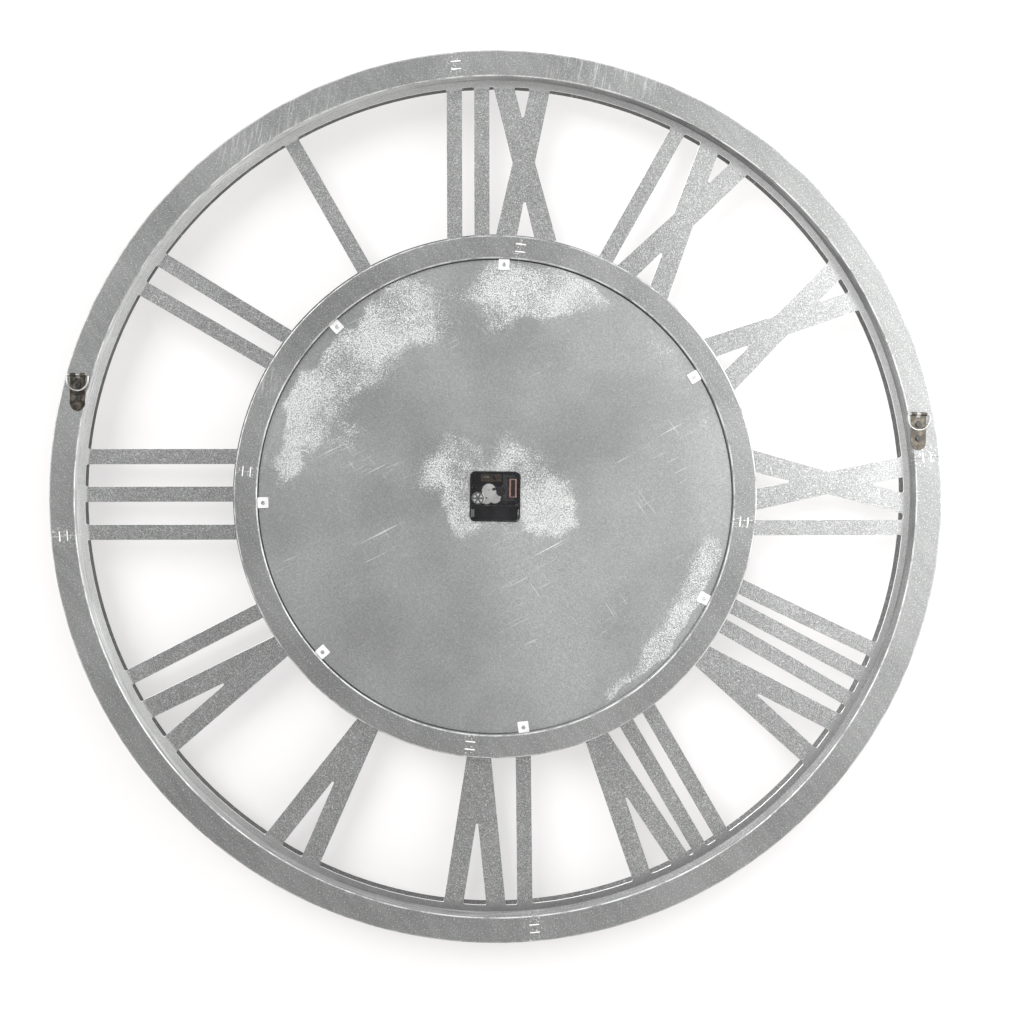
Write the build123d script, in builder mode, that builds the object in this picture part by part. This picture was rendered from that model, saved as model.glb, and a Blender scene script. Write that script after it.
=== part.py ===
from build123d import *
import os
from math import cos, pi, radians, sin

# Wall clock, about a metre across: two board rings front and back of a cut sheet of
# Roman numerals, with a dial in the hub ring and a quartz movement behind it.
# +Z is twelve o'clock, -Y is the dial side and +Y the wall side. Units are millimetres.
# The origin is the centre of the whole clock's box.

# Driving dimensions of the case, as radii about the Y axis
RIM_RADIUS = 500.0
REAR_RIM_INNER = 471.0
FRONT_RIM_INNER = 464.0
HUB_OUTER = 293.0
HUB_INNER = 267.0
FRONT_HUB_OUTER = 296.5
FRONT_HUB_INNER = 250.0
BOARD_RADIUS = 265.8

# Thicknesses
RING_THICKNESS = 18.0
SHEET = 1.5
BOARD_THICKNESS = 12.0
FACE_THICKNESS = 1.0
BOARD_RECESS = 5.0

# Hangers: strap with rolled loops that hold a wire ring
STRAP_THICKNESS = 1.0
STRAP_WIDTH = 17.0
STRAP_LENGTH = 42.5
WIRE_RADIUS = 0.9
LOOP_CLEARANCE = 0.08
LOOP_STANDOFF = STRAP_THICKNESS + 0.3 + WIRE_RADIUS
LOOP_OUTER = WIRE_RADIUS + LOOP_CLEARANCE + STRAP_THICKNESS
HANGER_PLACES = {"left": (469.1, 110.9), "right": (-472.3, 79.9)}

# Depth of each layer, front to back
CASE_DEPTH = 2 * RING_THICKNESS + SHEET
HANGER_DEPTH = LOOP_STANDOFF + LOOP_OUTER
REAR_Y = (CASE_DEPTH + HANGER_DEPTH) / 2 - HANGER_DEPTH
SHEET_Y = REAR_Y - RING_THICKNESS
FRONT_RING_Y = SHEET_Y - SHEET
BOARD_Y = REAR_Y - BOARD_RECESS
FACE_Y = BOARD_Y - BOARD_THICKNESS
DIAL_FRONT_Y = FACE_Y - FACE_THICKNESS

# Seams between the four segments of each ring, turned from the +X axis; the front rings'
# seams lie midway between the rear ones
RIM_SEAM_TURN = -6.0
HUB_SEAM_TURN = 5.0
FRONT_SEAM_LEAD = 45.0
SEAM_GAP = 0.2

# Staples over the rear seams and headless nails through the rings, driven just below flush
STAPLE_CROWN = 11.0
STAPLE_WIRE = 1.0
STAPLE_LEG = 8.0
STAPLE_SPACING = 8.6
BRAD_RADIUS = 0.9
BRAD_LENGTH = 30.0
RIM_BRADS = (479.0, 12, 16.0)
HUB_BRADS = (287.0, 8, 22.0)
SUNK = 0.1
SUNK_MARGIN = 0.1

# Numerals: letters stand between the hub ring and the rim, tops outward
NUMERAL_INNER = 292.0
NUMERAL_OUTER = FRONT_RIM_INNER
LETTER_MIDDLE = (NUMERAL_INNER + NUMERAL_OUTER) / 2
BAR_WIDTH = 17.2
V_FOOT, V_TOP, V_NOTCH, V_NOTCH_DEPTH = 26.5, 70.5, 26.5, 92.0
X_FOOT, X_TOP, X_WAIST = 69.0, 65.0, 25.5
X_LOW_NOTCH, X_LOW_DEPTH = 20.5, 41.0
X_TOP_NOTCH, X_TOP_DEPTH = 18.5, 34.5
# hour: letters as (shape, offset clockwise from the hour line, lean in degrees), as cut
NUMERALS = {
    12: [("X", -28.0, 2.0), ("I", 19.5, 0.9), ("I", 50.5, 1.0)],
    1: [("I", 4.3, 0.6)],
    2: [("I", -35.7, -0.7), ("I", 1.0, 0.7)],
    3: [("I", -39.2, 0.9), ("I", 3.4, 0.9), ("I", 46.5, 0.9)],
    4: [("I", -19.0, -2.1), ("V", 37.0, 4.2)],
    5: [("V", 9.1, -0.2)],
    6: [("V", -14.6, -0.8), ("I", 38.9, 1.4)],
    7: [("V", -36.8, -3.0), ("I", 6.6, 1.1), ("I", 36.3, 0.9)],
    8: [("V", -40.9, -3.9), ("I", 7.0, 0.7), ("I", 35.1, 3.0), ("I", 62.5, 5.4)],
    9: [("I", -30.7, 0.9), ("X", 20.0, -0.9)],
    10: [("X", 10.0, 2.9)],
    11: [("X", -24.1, -2.7), ("I", 30.8, 1.4)],
}

# Clips that hold the dial in the hub ring, clockwise from three o'clock on the dial side
CLIP_ANGLES = (91.4, 46.2, -2.3, -42.8, -97.8, -154.8, 148.2)
CLIP_RADIUS = 260.6
CLIP_SIZE = 12.0
CLIP_THICKNESS = 2.0
SCREW_SHANK = 1.4
SCREW_HOLE = 1.45
SCREW_BITE = 10.0

# Movement: depths are measured back from its mounting face
MOVEMENT = 56.0
MOVEMENT_DEPTH = 15.0
GASKET = 0.8
MOVEMENT_Y = FACE_Y + GASKET
WALL = 1.2
BAY_TOP = -11.2
CHAMBER_LOW = -10.0
INSIDE = MOVEMENT / 2 - WALL
COVER_THICKNESS = 1.2
COVER_DEPTH = MOVEMENT_DEPTH - COVER_THICKNESS
BUSH_OUTER = 4.0
RUN = 0.05

# Gear train: teeth and modules; pairs on one centre distance share it exactly
ADDENDUM = 0.75
DEDENDUM = 1.15
MOTION_DISTANCE = 9.6
TRAIN_DISTANCE = 9.06
CENTRE_TEETH, THIRD_PINION_TEETH = 64, 8
THIRD_TEETH, SECONDS_PINION_TEETH = 60, 8
SECONDS_TEETH, IDLER_PINION_TEETH = 40, 8
IDLER_TEETH, ROTOR_PINION_TEETH = 48, 8
CANNON_TEETH, DAY_TEETH = 12, 36
DAY_PINION_TEETH, HOUR_TEETH = 10, 40
KNOB_TEETH = 14
CANNON_MODULE = 2 * MOTION_DISTANCE / (CANNON_TEETH + DAY_TEETH)
HOUR_MODULE = 2 * MOTION_DISTANCE / (DAY_PINION_TEETH + HOUR_TEETH)
CENTRE_MODULE = 2 * TRAIN_DISTANCE / (CENTRE_TEETH + THIRD_PINION_TEETH)
THIRD_MODULE = 2 * TRAIN_DISTANCE / (THIRD_TEETH + SECONDS_PINION_TEETH)
SECONDS_MODULE = 0.35
IDLER_MODULE = 0.22
IDLER_DISTANCE = SECONDS_MODULE * (SECONDS_TEETH + IDLER_PINION_TEETH) / 2
ROTOR_DISTANCE = IDLER_MODULE * (IDLER_TEETH + ROTOR_PINION_TEETH) / 2
KNOB_DISTANCE = CANNON_MODULE * (DAY_TEETH + KNOB_TEETH) / 2
THIRD_ANGLE = 43.2
DAY_ANGLE = -12.0
MOTOR_ANGLE = 138.2


def polar(radius, angle, centre=(0, 0)):
    return (centre[0] + radius * cos(radians(angle)), centre[1] + radius * sin(radians(angle)))


THIRD_PLACE = polar(TRAIN_DISTANCE, THIRD_ANGLE)
DAY_PLACE = polar(MOTION_DISTANCE, DAY_ANGLE)
KNOB_PLACE = polar(KNOB_DISTANCE, 0, DAY_PLACE)
IDLER_PLACE = polar(IDLER_DISTANCE, MOTOR_ANGLE)
ROTOR_PLACE = polar(IDLER_DISTANCE + ROTOR_DISTANCE, MOTOR_ANGLE)
COIL_PLACE = (-20.0, ROTOR_PLACE[1])

# Hands
MINUTE_LENGTH, HOUR_LENGTH = 232.0, 158.0
HAND_THICKNESS = 0.8
MINUTE_ANGLE, HOUR_ANGLE = 60.0, 305.0

os.makedirs("parts", exist_ok=True)


def save(part, name):
    part.label = name
    export_step(part, f"parts/{name}.step")


def facing(y):
    """Plane at depth y whose local x and y are +X and +Z; extruding goes to the front."""
    return Plane.XZ.offset(-y)


def behind(depth):
    """Plane at a depth measured back from the movement's mounting face."""
    return facing(MOVEMENT_Y + depth)


# --- The case: rings of board, each in four segments

def around(radius, angles):
    """Places on a circle, each turned to face outward."""
    return [Location((*polar(radius, angle), 0), (0, 0, angle)) for angle in angles]


def staple_places(outer, inner, seam_turn):
    """Two staples side by side over each of a rear ring's four seams."""
    seams = [seam_turn + 90 * index for index in range(4)]
    middle = (outer + inner) / 2
    return [
        place for side in (-1, 1) for place in around(middle + side * STAPLE_SPACING / 2, seams)
    ]


def quarter(outer, inner, seam_turn, index, y):
    """Outline of a quarter of a ring, a hair short at each end so that the seams show."""
    gap_angle = 180 * SEAM_GAP / (pi * outer)
    start = seam_turn + 90 * index + gap_angle
    sweep = 90 - 2 * gap_angle
    with BuildSketch(facing(y)) as outline:
        with BuildLine():
            outer_arc = CenterArc((0, 0), outer, start, sweep)
            inner_arc = CenterArc((0, 0), inner, start, sweep)
            Line(outer_arc @ 0, inner_arc @ 0)
            Line(outer_arc @ 1, inner_arc @ 1)
        make_face()
    return outline.sketch


def rear_segment(outer, inner, seam_turn, index, nails, name):
    with BuildPart() as segment:
        extrude(quarter(outer, inner, seam_turn, index, REAR_Y), amount=RING_THICKNESS)
        rear_edges = segment.faces().sort_by(Axis.Y)[-1].edges()
        fillet(rear_edges.filter_by(GeomType.CIRCLE), 1.2)
        with BuildSketch(facing(REAR_Y)) as channels:
            with Locations(*staple_places(outer, inner, seam_turn)):
                Rectangle(STAPLE_WIRE + 2 * SUNK_MARGIN, STAPLE_CROWN + 2 * SUNK_MARGIN)
            with PolarLocations(nails[0], nails[1], start_angle=nails[2]):
                Circle(BRAD_RADIUS + SUNK_MARGIN)
        extrude(channels.sketch, amount=SUNK + STAPLE_WIRE, mode=Mode.SUBTRACT)
    save(segment.part, name)


def clip_holes(y, depth, radius):
    """Drill the clip screws' holes towards the front, in the part being built."""
    with BuildSketch(facing(y)) as holes:
        with Locations(*around(CLIP_RADIUS, CLIP_ANGLES)):
            Circle(radius)
    extrude(holes.sketch, amount=depth, mode=Mode.SUBTRACT)


def front_segment(outer, inner, seam_turn, index, round_over, holds_clips, name):
    start = seam_turn + FRONT_SEAM_LEAD
    with BuildPart() as segment:
        extrude(quarter(outer, inner, start, index, FRONT_RING_Y), amount=RING_THICKNESS)
        front_edges = segment.faces().sort_by(Axis.Y)[0].edges()
        fillet(front_edges.filter_by(GeomType.CIRCLE), round_over)
        if holds_clips:
            clip_holes(FRONT_RING_Y, SCREW_BITE, SCREW_SHANK)
    save(segment.part, name)


for index in range(4):
    number = index + 1
    rear_segment(RIM_RADIUS, REAR_RIM_INNER, RIM_SEAM_TURN, index, RIM_BRADS,
                 f"rear_rim_segment_{number}")
    rear_segment(HUB_OUTER, HUB_INNER, HUB_SEAM_TURN, index, HUB_BRADS,
                 f"rear_hub_segment_{number}")
    front_segment(RIM_RADIUS, FRONT_RIM_INNER, RIM_SEAM_TURN, index, 5.0, False,
                  f"front_rim_segment_{number}")
    front_segment(FRONT_HUB_OUTER, FRONT_HUB_INNER, HUB_SEAM_TURN, index, 4.0, True,
                  f"front_hub_segment_{number}")


# --- The numeral sheet --------------------------------------------------------------------

LETTER_LOW = NUMERAL_INNER - 3.0
LETTER_HIGH = NUMERAL_OUTER + 4.0


def width_at(radius, foot, top):
    """Width of a straight-sided letter at a radius, from its two end widths."""
    share = (radius - NUMERAL_INNER) / (NUMERAL_OUTER - NUMERAL_INNER)
    return foot + (top - foot) * share


def notch(base, base_at, tip_at):
    """Triangular notch with a small flat tip, as the outline of a cut."""
    tip = 1.2
    Polygon((-base / 2, base_at), (-tip, tip_at), (tip, tip_at), (base / 2, base_at),
            align=None, mode=Mode.SUBTRACT)


def letter_sketch(shape):
    """One letter about its own centre line, standing at its true radius."""
    with BuildSketch() as letter:
        if shape == "I":
            with Locations((0, LETTER_MIDDLE)):
                Rectangle(BAR_WIDTH, LETTER_HIGH - LETTER_LOW)
        if shape == "V":
            low = width_at(LETTER_LOW, V_FOOT, V_TOP) / 2
            high = width_at(LETTER_HIGH, V_FOOT, V_TOP) / 2
            Polygon((-low, LETTER_LOW), (low, LETTER_LOW), (high, LETTER_HIGH),
                    (-high, LETTER_HIGH), align=None)
            notch(V_NOTCH, NUMERAL_OUTER, NUMERAL_OUTER - V_NOTCH_DEPTH)
        if shape == "X":
            slope_low = (X_FOOT - X_WAIST) / (LETTER_MIDDLE - NUMERAL_INNER) / 2
            slope_high = (X_TOP - X_WAIST) / (NUMERAL_OUTER - LETTER_MIDDLE) / 2
            low = X_FOOT / 2 + slope_low * (NUMERAL_INNER - LETTER_LOW)
            high = X_TOP / 2 + slope_high * (LETTER_HIGH - NUMERAL_OUTER)
            waist = X_WAIST / 2
            Polygon((-low, LETTER_LOW), (low, LETTER_LOW), (waist, LETTER_MIDDLE),
                    (high, LETTER_HIGH), (-high, LETTER_HIGH), (-waist, LETTER_MIDDLE),
                    align=None)
            notch(X_LOW_NOTCH, NUMERAL_INNER, NUMERAL_INNER + X_LOW_DEPTH)
            notch(X_TOP_NOTCH, NUMERAL_OUTER, NUMERAL_OUTER - X_TOP_DEPTH)
    return letter.sketch


LETTERS = {shape: letter_sketch(shape) for shape in "IVX"}
SHEET_OUTER = 488.0
SHEET_INNER = 256.0
SLOT_CORNER = 2.0

with BuildPart() as numeral_sheet:
    with BuildSketch(facing(SHEET_Y)):
        Circle(SHEET_OUTER)
        Circle(NUMERAL_OUTER, mode=Mode.SUBTRACT)
        Circle(NUMERAL_INNER)
        Circle(SHEET_INNER, mode=Mode.SUBTRACT)
        for hour, letters in NUMERALS.items():
            for shape, offset_along, lean in letters:
                middle = Location((offset_along, LETTER_MIDDLE, 0), (0, 0, -lean))
                upright = LETTERS[shape].moved(Location((0, -LETTER_MIDDLE, 0)))
                turned = Location((0, 0, 0), (0, 0, -30 * hour))
                add(upright.moved(middle).moved(turned))
    extrude(amount=SHEET)
    clip_holes(SHEET_Y, SHEET, SCREW_HOLE)
    slot_corners = numeral_sheet.edges().filter_by(Axis.Y).filter_by(
        lambda edge: abs(Vector(edge.center().X, edge.center().Z).length - NUMERAL_OUTER) < 0.4
    )
    fillet(slot_corners, SLOT_CORNER)
save(numeral_sheet.part, "numeral_sheet")


# --- The dial in the hub ring, its clips and the nails and staples of the case -----------

OPENING = MOVEMENT + 0.8
OPENING_CORNER = 6.0

with BuildPart() as dial_board:
    with BuildSketch(facing(BOARD_Y)):
        Circle(BOARD_RADIUS)
        RectangleRounded(OPENING, OPENING, OPENING_CORNER, mode=Mode.SUBTRACT)
    extrude(amount=BOARD_THICKNESS)
    clip_holes(BOARD_Y, BOARD_THICKNESS, SCREW_HOLE)
save(dial_board.part, "dial_board")

with BuildPart() as dial_face:
    with BuildSketch(facing(FACE_Y)):
        Circle(BOARD_RADIUS)
        Circle(BUSH_OUTER + 0.2, mode=Mode.SUBTRACT)
    extrude(amount=FACE_THICKNESS)
    clip_holes(FACE_Y, FACE_THICKNESS, SCREW_HOLE)
save(dial_face.part, "dial_face")

with BuildPart() as dial_clips:
    with BuildSketch(facing(BOARD_Y + CLIP_THICKNESS)):
        with Locations(*around(CLIP_RADIUS, CLIP_ANGLES)):
            RectangleRounded(CLIP_SIZE, CLIP_SIZE, 1.0)
    extrude(amount=CLIP_THICKNESS)
    clip_holes(BOARD_Y + CLIP_THICKNESS, CLIP_THICKNESS, SCREW_HOLE)
save(dial_clips.part, "dial_clips")


def screws(places, seat_y, head_radius, head_height, shank_radius, shank_length, name):
    """Cross-head screws pointing to the front, as one group."""
    with BuildPart() as group:
        with BuildSketch(facing(seat_y + head_height)):
            with Locations(*places):
                Circle(head_radius)
        extrude(amount=head_height)
        fillet(group.faces().sort_by(Axis.Y)[-len(places):].edges(), 0.45 * head_height)
        with BuildSketch(facing(seat_y)):
            with Locations(*places):
                Circle(shank_radius)
        extrude(amount=shank_length)
        with BuildSketch(facing(seat_y + head_height)):
            with Locations(*places):
                Rectangle(1.1 * head_radius, 0.25 * head_radius)
                Rectangle(0.25 * head_radius, 1.1 * head_radius)
        extrude(amount=0.5 * head_height, mode=Mode.SUBTRACT)
    save(group.part, name)


screws(around(CLIP_RADIUS, CLIP_ANGLES), BOARD_Y + CLIP_THICKNESS, 2.4, 1.0, SCREW_SHANK,
       CLIP_THICKNESS + BOARD_THICKNESS + FACE_THICKNESS + SHEET + SCREW_BITE - 0.2,
       "clip_screws")


def seam_staples(outer, inner, seam_turn, name):
    """Staples driven over the seams of a rear ring, as one group."""
    places = staple_places(outer, inner, seam_turn)
    with BuildPart() as staples:
        with BuildSketch(facing(REAR_Y - SUNK)):
            with Locations(*places):
                Rectangle(STAPLE_WIRE, STAPLE_CROWN)
        extrude(amount=STAPLE_WIRE)
        with BuildSketch(facing(REAR_Y - SUNK - STAPLE_WIRE)):
            with Locations(*places):
                with GridLocations(0, STAPLE_CROWN - STAPLE_WIRE, 1, 2):
                    Rectangle(STAPLE_WIRE, STAPLE_WIRE)
        extrude(amount=STAPLE_LEG)
    save(staples.part, name)


seam_staples(RIM_RADIUS, REAR_RIM_INNER, RIM_SEAM_TURN, "rim_staples")
seam_staples(HUB_OUTER, HUB_INNER, HUB_SEAM_TURN, "hub_staples")


def brads(radius, count, turn, name):
    """Headless nails through the rear ring and the sheet into the front ring."""
    with BuildPart() as nails:
        with BuildSketch(facing(REAR_Y - SUNK)):
            with PolarLocations(radius, count, start_angle=turn):
                Circle(BRAD_RADIUS)
        extrude(amount=BRAD_LENGTH)
    save(nails.part, name)


brads(*RIM_BRADS, "rim_brads")
brads(*HUB_BRADS, "hub_brads")


# --- Wall hangers -------------------------------------------------------------------------

LOOP_WIDTH = 6.0
LOOP_HEIGHT = STRAP_LENGTH / 2 - LOOP_OUTER
SCREW_HEIGHTS = (7.9, -8.1)
RING_HALF_WIDTH = 12.0
RING_DROP = 17.8
RING_CORNER = 2.0

for side, (place_x, place_z) in HANGER_PLACES.items():
    loop_y = REAR_Y + LOOP_STANDOFF
    with BuildPart() as strap:
        with BuildSketch(facing(REAR_Y + STRAP_THICKNESS)):
            with Locations((place_x, place_z)):
                with Locations((0, STRAP_WIDTH / 2 - STRAP_LENGTH / 2)):
                    Circle(STRAP_WIDTH / 2)
                with Locations((0, (LOOP_HEIGHT + STRAP_WIDTH / 2 - STRAP_LENGTH / 2) / 2)):
                    Rectangle(STRAP_WIDTH, LOOP_HEIGHT + STRAP_LENGTH / 2 - STRAP_WIDTH / 2)
                with Locations((0, LOOP_HEIGHT)):
                    Rectangle(STRAP_WIDTH - 2 * LOOP_WIDTH, 8, mode=Mode.SUBTRACT)
                with Locations(*[(0, height) for height in SCREW_HEIGHTS]):
                    Circle(1.8, mode=Mode.SUBTRACT)
        extrude(amount=STRAP_THICKNESS)
        for sign in (-1, 1):
            middle = place_x + sign * (STRAP_WIDTH - LOOP_WIDTH) / 2
            end = Plane.YZ.offset(middle - LOOP_WIDTH / 2)
            with BuildSketch(end):
                with Locations((loop_y, place_z + LOOP_HEIGHT)):
                    Circle(LOOP_OUTER)
            extrude(amount=LOOP_WIDTH)
            with BuildSketch(end):
                with Locations((loop_y, place_z + LOOP_HEIGHT)):
                    Circle(WIRE_RADIUS + LOOP_CLEARANCE)
            extrude(amount=LOOP_WIDTH, mode=Mode.SUBTRACT)
    save(strap.part, f"hanger_strap_{side}")

    with BuildPart() as ring:
        with BuildLine(Plane((place_x, loop_y, place_z + LOOP_HEIGHT), (1, 0, 0), (0, -1, 0))):
            side_x = RING_HALF_WIDTH
            arc_z = RING_HALF_WIDTH - RING_DROP
            bar_x = side_x - RING_CORNER
            Line((0, 0), (bar_x, 0))
            CenterArc((bar_x, -RING_CORNER), RING_CORNER, 90, -90)
            Line((side_x, -RING_CORNER), (side_x, arc_z))
            CenterArc((0, arc_z), RING_HALF_WIDTH, 0, -180)
            Line((-side_x, arc_z), (-side_x, -RING_CORNER))
            CenterArc((-bar_x, -RING_CORNER), RING_CORNER, 180, -90)
            Line((-bar_x, 0), (0, 0))
        with BuildSketch(Plane.YZ.offset(place_x)):
            with Locations((loop_y, place_z + LOOP_HEIGHT)):
                Circle(WIRE_RADIUS)
        sweep()
    save(ring.part, f"hanger_ring_{side}")

hanger_screw_places = [
    Location((x, z + height, 0))
    for x, z in HANGER_PLACES.values() for height in SCREW_HEIGHTS
]
screws(hanger_screw_places, REAR_Y + STRAP_THICKNESS, 3.4, 1.9, 1.75, 14.0, "hanger_screws")


# --- Movement: case, cover and fixed pieces -----------------------------------------------

PIVOT = 0.35
PIVOT_HOLE = PIVOT + RUN
DAY_POST = 0.8
KNOB_SHAFT = 1.2
KNOB_RADIUS = 7.0
CORNER = 5.6
POST_TOPS = {
    "cover": (1.4, COVER_DEPTH, ((24.4, 24.4), (24.4, 9.0), (-25.2, 25.2), (-25.2, -6.9))),
    "bridge": (1.5, 7.3, ((-12.0, 24.6), (-12.0, -6.6))),
    "stator": (1.2, 9.0, ((-20.0, 23.6), (-20.0, -4.1))),
    "circuit": (1.2, 9.0, ((-5.0, 21.0), (14.0, 21.0))),
}
THIRD_BOSS = 4.5

with BuildPart() as movement_case:
    with BuildSketch(behind(MOVEMENT_DEPTH)):
        RectangleRounded(MOVEMENT, MOVEMENT, CORNER)
    extrude(amount=MOVEMENT_DEPTH)
    with BuildSketch(behind(MOVEMENT_DEPTH)):
        with Locations((0, (CHAMBER_LOW + INSIDE) / 2)):
            RectangleRounded(2 * INSIDE, INSIDE - CHAMBER_LOW, CORNER - WALL)
        with Locations((0, (BAY_TOP - INSIDE) / 2)):
            RectangleRounded(2 * INSIDE, INSIDE + BAY_TOP, 3.0)
    extrude(amount=MOVEMENT_DEPTH - WALL, mode=Mode.SUBTRACT)
    for radius, top, places in POST_TOPS.values():
        with BuildSketch(behind(top)):
            with Locations(*places):
                Circle(radius)
        extrude(amount=top - WALL / 2)
    with BuildSketch(behind(THIRD_BOSS)):
        with Locations(THIRD_PLACE):
            Circle(0.9)
            Circle(PIVOT_HOLE, mode=Mode.SUBTRACT)
    extrude(amount=THIRD_BOSS - WALL)
    with BuildSketch(behind(4.8)):
        with Locations(DAY_PLACE):
            Circle(DAY_POST)
    extrude(amount=4.8 - WALL)
    with BuildSketch(behind(3.0)):
        with Locations(KNOB_PLACE):
            Circle(KNOB_SHAFT + 1.2)
            Circle(KNOB_SHAFT + RUN, mode=Mode.SUBTRACT)
    extrude(amount=3.0 - WALL)
    with BuildSketch(behind(WALL)):
        Circle(BUSH_OUTER)
    extrude(amount=WALL, mode=Mode.SUBTRACT)
    with BuildSketch(behind(MOVEMENT_DEPTH)):
        with Locations((2.0, -MOVEMENT / 2)):
            Rectangle(9.0, 4.0)
    extrude(amount=3.6, mode=Mode.SUBTRACT)
save(movement_case.part, "movement_case")

COVER_GAP = 0.15
COVER_LOW = CHAMBER_LOW + COVER_GAP
COVER_SIDE = INSIDE - COVER_GAP
# place, outer radius, bore and the depth that each bearing boss reaches down to
COVER_BOSSES = (
    ((0, 0), 1.5, 0.8 + RUN, 9.9),
    (THIRD_PLACE, 1.2, PIVOT_HOLE, 7.4),
    (IDLER_PLACE, 1.0, PIVOT_HOLE, 12.2),
    (ROTOR_PLACE, 1.0, PIVOT_HOLE, 12.5),
)

with BuildPart() as movement_cover:
    with BuildSketch(behind(MOVEMENT_DEPTH)):
        with Locations((0, (COVER_LOW + COVER_SIDE) / 2)):
            RectangleRounded(2 * COVER_SIDE, COVER_SIDE - COVER_LOW, CORNER - WALL - COVER_GAP)
        with Locations(KNOB_PLACE):
            Circle(KNOB_RADIUS + 0.4, mode=Mode.SUBTRACT)
            with Locations((KNOB_RADIUS / 2 + 2.0, -KNOB_RADIUS / 2)):
                Rectangle(KNOB_RADIUS + 4.0, KNOB_RADIUS + 4.0, mode=Mode.SUBTRACT)
    extrude(amount=COVER_THICKNESS)
    for place, outer, bore, reach in COVER_BOSSES:
        with BuildSketch(behind(COVER_DEPTH)):
            with Locations(place):
                Circle(outer)
                Circle(bore, mode=Mode.SUBTRACT)
        extrude(amount=COVER_DEPTH - reach)
save(movement_cover.part, "movement_cover")

BRIDGE_TOP, BRIDGE_THICKNESS = 8.1, 0.8
with BuildPart() as train_bridge:
    with BuildSketch(behind(BRIDGE_TOP)):
        with Locations((-11.6, 9.0)):
            Rectangle(5.8, 34.4)
        with Locations((-3.0, 2.75)):
            Rectangle(12.0, 13.5)
        Circle(1.4, mode=Mode.SUBTRACT)
        with Locations(IDLER_PLACE, ROTOR_PLACE):
            Circle(PIVOT_HOLE, mode=Mode.SUBTRACT)
    extrude(amount=BRIDGE_THICKNESS)
    with BuildSketch(behind(9.0)):
        with Locations((-11.3, 22.6), (-11.3, -3.2)):
            Circle(1.5)
    extrude(amount=9.0 - BRIDGE_TOP)
save(train_bridge.part, "train_bridge")

STATOR_TOP, STATOR_THICKNESS = 9.8, 0.8
ARM_REACH = 13.1
with BuildPart() as stator:
    with BuildSketch(behind(STATOR_TOP)):
        with Locations((-11.3, ROTOR_PLACE[1])):
            Rectangle(4.6, 2 * ARM_REACH)
        with Locations(ROTOR_PLACE):
            Circle(4.2)
        with Locations((-15.6, ROTOR_PLACE[1])):
            with GridLocations(0, 2 * ARM_REACH, 1, 2):
                Rectangle(13.2, 2.8)
        with Locations(ROTOR_PLACE):
            Circle(3.25, mode=Mode.SUBTRACT)
    extrude(amount=STATOR_THICKNESS)
save(stator.part, "stator")

CORE_WIDTH, CORE_THICKNESS = 4.0, 1.0
with BuildPart() as coil_core:
    with BuildSketch(behind(STATOR_TOP + CORE_THICKNESS)):
        with Locations(COIL_PLACE):
            Rectangle(CORE_WIDTH, 2 * ARM_REACH + 2.8)
    extrude(amount=CORE_THICKNESS)
save(coil_core.part, "coil_core")

COIL_DEPTH = STATOR_TOP + CORE_THICKNESS / 2
COIL_HALF = 11.5
FLANGE = 1.0
TUBE = (6.8, 5.0)


def across_coil(height):
    """Plane square to the coil at a height above its middle; local x runs to the front."""
    origin = (COIL_PLACE[0], MOVEMENT_Y + COIL_DEPTH, COIL_PLACE[1] + height)
    return Plane(origin, (1, 0, 0), (0, 0, 1))


with BuildPart() as coil_bobbin:
    with BuildSketch(across_coil(-COIL_HALF), across_coil(COIL_HALF - FLANGE)):
        RectangleRounded(10.0, 6.6, 1.0)
    extrude(amount=FLANGE)
    with BuildSketch(across_coil(-COIL_HALF)):
        RectangleRounded(*TUBE, 0.5)
    extrude(amount=2 * COIL_HALF)
    with BuildSketch(across_coil(-COIL_HALF)):
        Rectangle(CORE_WIDTH + 0.1, CORE_THICKNESS + 0.1)
    extrude(amount=2 * COIL_HALF, mode=Mode.SUBTRACT)
save(coil_bobbin.part, "coil_bobbin")

with BuildPart() as coil_winding:
    with BuildSketch(across_coil(FLANGE - COIL_HALF)):
        RectangleRounded(8.8, 6.2, 2.0)
        RectangleRounded(*TUBE, 0.5, mode=Mode.SUBTRACT)
    extrude(amount=2 * (COIL_HALF - FLANGE))
save(coil_winding.part, "coil_winding")

BOARD_TOP = 9.8
with BuildPart() as circuit_board:
    with BuildSketch(behind(BOARD_TOP)):
        with Locations((4.5, 21.0)):
            Rectangle(23.0, 8.6)
    extrude(amount=0.8)
save(circuit_board.part, "circuit_board")

with BuildPart() as clock_chip:
    with BuildSketch(behind(BOARD_TOP + 1.0)):
        with Locations((1.0, 21.0)):
            Circle(2.8)
    extrude(amount=1.0)
    fillet(clock_chip.faces().sort_by(Axis.Y)[-1].edges(), 0.8)
save(clock_chip.part, "clock_chip")

with BuildPart() as quartz_crystal:
    with BuildSketch(Plane.YZ.offset(7.0)):
        with Locations((MOVEMENT_Y + BOARD_TOP + 1.0, 22.0)):
            Circle(1.0)
    extrude(amount=6.0)
    fillet(quartz_crystal.faces().sort_by(Axis.X)[-1].edges(), 0.4)
save(quartz_crystal.part, "quartz_crystal")

# Battery contacts: sprung leaf at the +X end, flat plate with a stud at the other
BAY_MIDDLE = (BAY_TOP - INSIDE) / 2
CONTACT = 0.4
with BuildPart() as contact_negative:
    with BuildSketch(Plane.XY.offset(BAY_MIDDLE - 4.5)):
        end = INSIDE - CONTACT
        low, high = MOVEMENT_Y + 2.0, MOVEMENT_Y + 13.0
        Polygon((end, low), (INSIDE, low), (INSIDE, high), (end, high), (end - 3.6, low + 5.0),
                (end - 3.2, low + 4.6), (end, high - 0.9), align=None)
    extrude(amount=9.0)
save(contact_negative.part, "contact_negative")

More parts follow.
